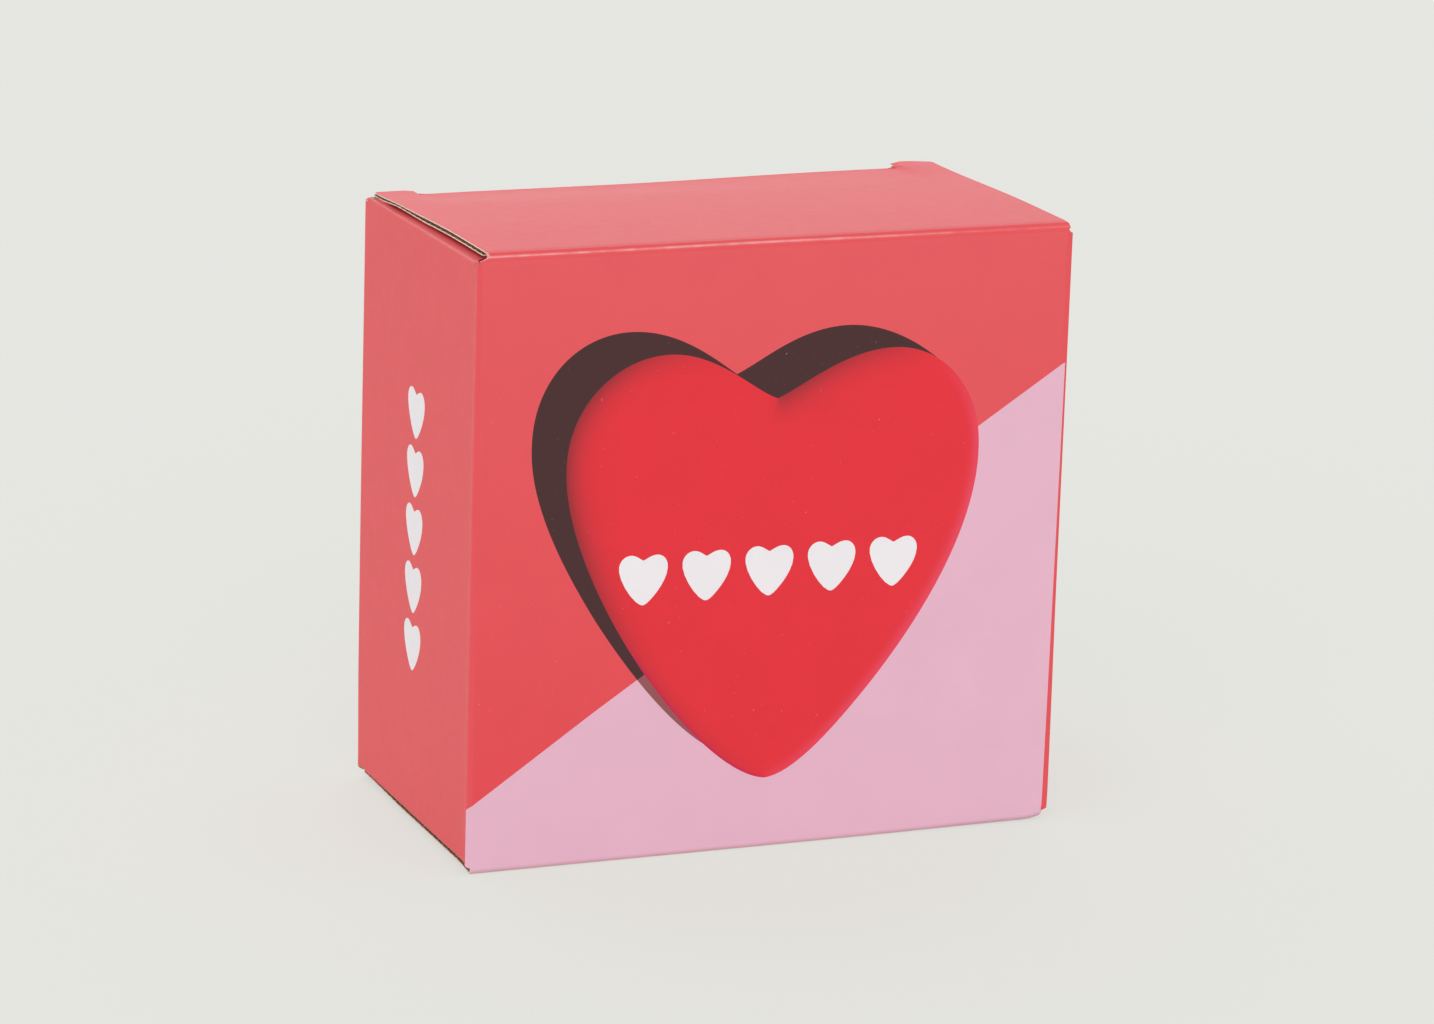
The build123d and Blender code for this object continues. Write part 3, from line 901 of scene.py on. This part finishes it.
# Inner liners: plain brown kraft paper, the inside face of every wall and flap, with dark and pale fibres in
# it. It is glued to the crests of the fluting, and cut and scored together with it.
kraft_liner, tree, shader, place = new_finish("kraft_liner")
clouds = speckle(tree, place, 55)
brown = tint(tree, clouds, ink(190, 152, 112), ink(206, 170, 130))
stretch = wire(tree, "ShaderNodeMapping", {"Vector": place, "Scale": (0.25, 1.0, 1.0)}).outputs[0]
hairs = speckle(tree, stretch, 1300, 0.0, 0.55, low=0.58, high=0.72, detail=3.0)
tree.links.new(tint(tree, hairs, brown, ink(140, 104, 72)), shader.inputs["Base Color"])
tree.links.new(speckle(tree, place, 800, 0.78, 0.92), shader.inputs["Roughness"])
emboss(tree, shader, speckle(tree, stretch, 1700, detail=6.0), 0.25, 0.0001)
kraft_faces = (kraft_liner, kraft_liner, cut_edge)
for name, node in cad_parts.items():
    if name.endswith("_inner_liner"):
        dress(node, kraft_liner)

back_inner_low, back_inner_high = span("back_inner_liner")
inner_outline = [
    (back_inner_low.x, back_inner_low.z), (back_inner_high.x, back_inner_low.z),
    (back_inner_high.x, back_top), (back_inner_low.x, back_top),
]
inner = cut_sheet("kraft_back", inner_outline, [], [], lambda u, v: Vector((u, back_inner_low.y, v)),
                  finishes=kraft_faces)
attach(inner, "carton")
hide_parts("back_inner_liner")


# The top tuck flap's inner liner starts at the pressed rear fold of the lid.
def tuck_inner_place(u, v):
    """Place of a point of the inner liner: u across the flap, v down it from the inner corner of the fold."""
    pressed = max(lid_lift(u, tuck_line), -inner_press) * (1 - smooth(v, 0, tuck_ease))
    return Vector((u, tuck_line - v * sin(tuck_lean), fold_z - v * cos(tuck_lean) + pressed))


tuck_inner = [(tuck_crease_high.x, 0.0)] + [(u, v - tuck_bend) for u, v in tuck_outline if v > 0]
inner = cut_sheet("kraft_top_tuck_flap", tuck_inner + [(-tuck_crease_high.x, 0.0)], [],
                  [(u, v - tuck_bend) for u, v in tuck_spots], tuck_inner_place, turned=True,
                  finishes=kraft_faces)
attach(inner, "top_tuck_flap")
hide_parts("top_tuck_flap_inner_liner")

# The lids' inner liners follow the curl of the lid, and run on round the inside of the fold on to the wall.
run_on, set_in = 1.2, 3
inner_left, inner_right = lid_low.x + set_in, lid_high.x - set_in
inner_ear = lid_high.y - fold_y
lid_inner = [
    (lid_low.x, 2.5), (inner_left, 1.5), (inner_left, -run_on), (inner_right, -run_on), (inner_right, 1.5),
    (lid_high.x, 2.5), (lid_high.x, inner_ear), (ear_start, inner_ear), (ear_start, lid_depth),
    (-ear_start, lid_depth), (-ear_start, inner_ear), (lid_low.x, inner_ear),
]
inner_lines = [stepped([(inner_left, v), (inner_right, v)])
               for v in (-0.9, -0.6, -0.3, 0.0, 0.3, 0.6, 0.9, 1.2, 1.7)]
inner_spots = [(u, v - quarter) for u, v in lid_spots if v > quarter + 3]
for end in ("top", "bottom"):

    def inner_place(u, v):
        """Place of a point of the liner: v runs up the wall to the inner corner, and then along the lid."""
        if v >= 0:
            return in_lid(end, u, fold_y + v, fold_z)
        return stand(u + bottom_aside(u), fold_y + min(-v, 0.32), level(end, fold_z + v))

    inner = cut_sheet(f"kraft_{end}_lid", lid_inner, inner_lines, inner_spots, inner_place,
                      turned=end == "top", finishes=kraft_faces)
    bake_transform(inner)
    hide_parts(f"{end}_lid_inner_liner")

# Cradle: brown board with a heart-shaped window and two folded flanges, which holds the ceramic box upright.
# It is die-cut and stands loose between the walls.
for name in ("cradle_face", "cradle_left_flange", "cradle_right_flange"):
    dress(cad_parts[name], kraft_liner)

# Ceramic heart box: slip-cast base and cover, dipped in a glossy red glaze that thins and darkens unevenly.
# The cover's lip sits loose inside the base.
red_glaze, tree, shader, place = new_finish("red_glaze")
pooled = speckle(tree, place, 45)
tree.links.new(tint(tree, pooled, ink(196, 22, 32), ink(224, 42, 50)), shader.inputs["Base Color"])
tree.links.new(speckle(tree, place, 160, 0.08, 0.16), shader.inputs["Roughness"])
shader.inputs["Coat Weight"].default_value = 0.6
shader.inputs["Coat Roughness"].default_value = 0.05
emboss(tree, shader, speckle(tree, place, 90, detail=2.0), 0.15, 0.0004)
for name in ("ceramic_base", "ceramic_cover"):
    dress(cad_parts[name], red_glaze)

# Stage: a plain pale floor, an even pale surround and one wide soft lamp before the carton. The floor is seen
# a little brighter than it is lit, so that the carton's shadow on it stays faint.
floor_half = 6
floor_corners = [(-floor_half, -floor_half, 0), (floor_half, -floor_half, 0),
                 (floor_half, floor_half, 0), (-floor_half, floor_half, 0)]
glow_share, glow_strength = 0.72, 1.04
floor_mesh = bpy.data.meshes.new("floor")
floor_mesh.from_pydata(floor_corners, [], [(0, 1, 2, 3)])
floor = bpy.data.objects.new("floor", floor_mesh)
bpy.context.scene.collection.objects.link(floor)
floor_finish, tree, shader, place = new_finish("floor_paint")
shader.inputs["Base Color"].default_value = (*ink(222, 223, 217), 1)
shader.inputs["Roughness"].default_value = 0.9
shader.inputs["Specular IOR Level"].default_value = 0.1
rays = wire(tree, "ShaderNodeLightPath").outputs
seen = reckon(tree, "MAXIMUM", rays["Is Camera Ray"], rays["Is Glossy Ray"])
seen = reckon(tree, "MAXIMUM", seen, rays["Is Transmission Ray"])
glow = wire(tree, "ShaderNodeEmission", {"Color": (*ink(229, 230, 225), 1), "Strength": glow_strength})
mixed = wire(tree, "ShaderNodeMixShader", {
    0: reckon(tree, "MULTIPLY", seen, glow_share), 1: shader.outputs[0], 2: glow.outputs[0]})
tree.links.new(mixed.outputs[0], tree.nodes["Material Output"].inputs["Surface"])
floor_mesh.materials.append(floor_finish)

world = bpy.data.worlds.new("surround")
bpy.context.scene.world = world
world.use_nodes = True
tree = world.node_tree
tree.nodes["Background"].inputs["Color"].default_value = (1, 1, 1, 1)
direction = wire(tree, "ShaderNodeTexCoord").outputs["Generated"]
toward = wire(tree, "ShaderNodeSeparateXYZ", {0: direction}).outputs
above = spread(tree, toward["Z"], 0.3, 1.0, 0.82, 0.66)
behind = spread(tree, toward["Y"], 0.3, 0.92, 0.0, 0.66)
tree.links.new(reckon(tree, "ADD", above, behind), tree.nodes["Background"].inputs["Strength"])
lamp = bpy.data.lights.new("soft_lamp", "SUN")
lamp.energy = 0.42 * pi
lamp.angle = radians(70)
holder = bpy.data.objects.new("soft_lamp", lamp)
holder.rotation_euler = Vector((0.45, 0.8, -0.3)).to_track_quat("-Z", "Y").to_euler()
bpy.context.scene.collection.objects.link(holder)

# Camera: at the photograph's viewing angle, solved on the carton's edges, and rolled as the photograph is.
azimuth, elevation, roll = radians(-22.231), radians(14.714), radians(1.757)
camera_place = (-0.48845, -1.20097, 0.41397)
back = Vector((sin(azimuth) * cos(elevation), -cos(azimuth) * cos(elevation), sin(elevation)))
across = Vector((0, 0, 1)).cross(back).normalized()
upward = back.cross(across)
right = cos(roll) * across + sin(roll) * upward
turn = Matrix((right, back.cross(right), back)).transposed().to_4x4()
camera = bpy.data.objects.new("camera", bpy.data.cameras.new("camera"))
camera.matrix_world = Matrix.Translation(camera_place) @ turn
camera.data.lens = 137.311
camera.data.sensor_width = 36
bpy.context.scene.collection.objects.link(camera)
bpy.context.scene.camera = camera
bpy.context.scene.view_settings.view_transform = "Standard"
